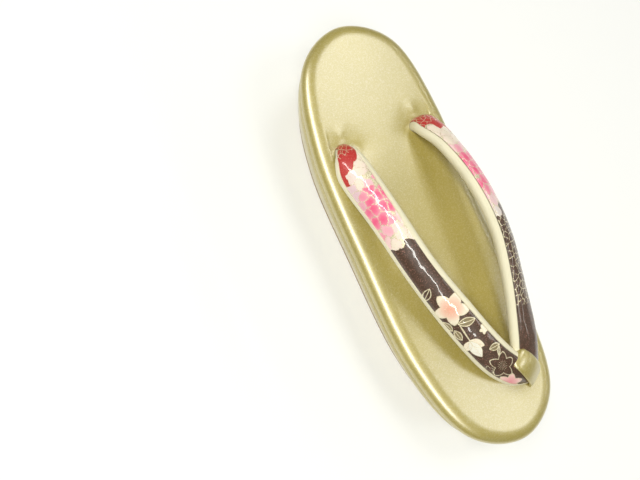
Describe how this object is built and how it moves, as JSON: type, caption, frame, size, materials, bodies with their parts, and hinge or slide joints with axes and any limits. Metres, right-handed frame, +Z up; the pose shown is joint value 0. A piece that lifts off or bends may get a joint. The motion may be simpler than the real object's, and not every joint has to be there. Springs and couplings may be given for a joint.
{
  "type": "zori sandal",
  "caption": "Zori sandal with a thick leatherette-wrapped sole, a padded footbed and two padded printed straps that meet in a leatherette loop at the toes.",
  "frame": {"origin": "on the floor under the middle of the sandal's bounding box", "axes": "+Z up from the floor, toes towards -Y, heel towards +Y, the foot's inner side towards +X"},
  "size_m": [0.0833, 0.24, 0.0592],
  "materials": {
    "outsole_rubber": "matt brown rubber sheet with a fine tread",
    "gold_leatherette": "champagne gold leatherette with a fine metallic grain, satin gloss",
    "gold_pad": "champagne gold leatherette over a soft pad, satin gloss",
    "cream_lining": "cream velvety cloth, matt",
    "printed_cloth": "clear-coated printed cloth, dark brown with red, pink and cream flowers outlined in gold, very glossy",
    "gold_loop": "champagne gold leatherette, satin gloss"
  },
  "bodies": {
    "root": {"outsole": "outsole_rubber", "sole_body": "gold_leatherette", "top_pad": "gold_pad", "strap_lining": "cream_lining", "strap_cover": "printed_cloth", "front_loop": "gold_loop"}
  },
  "joints": []
}
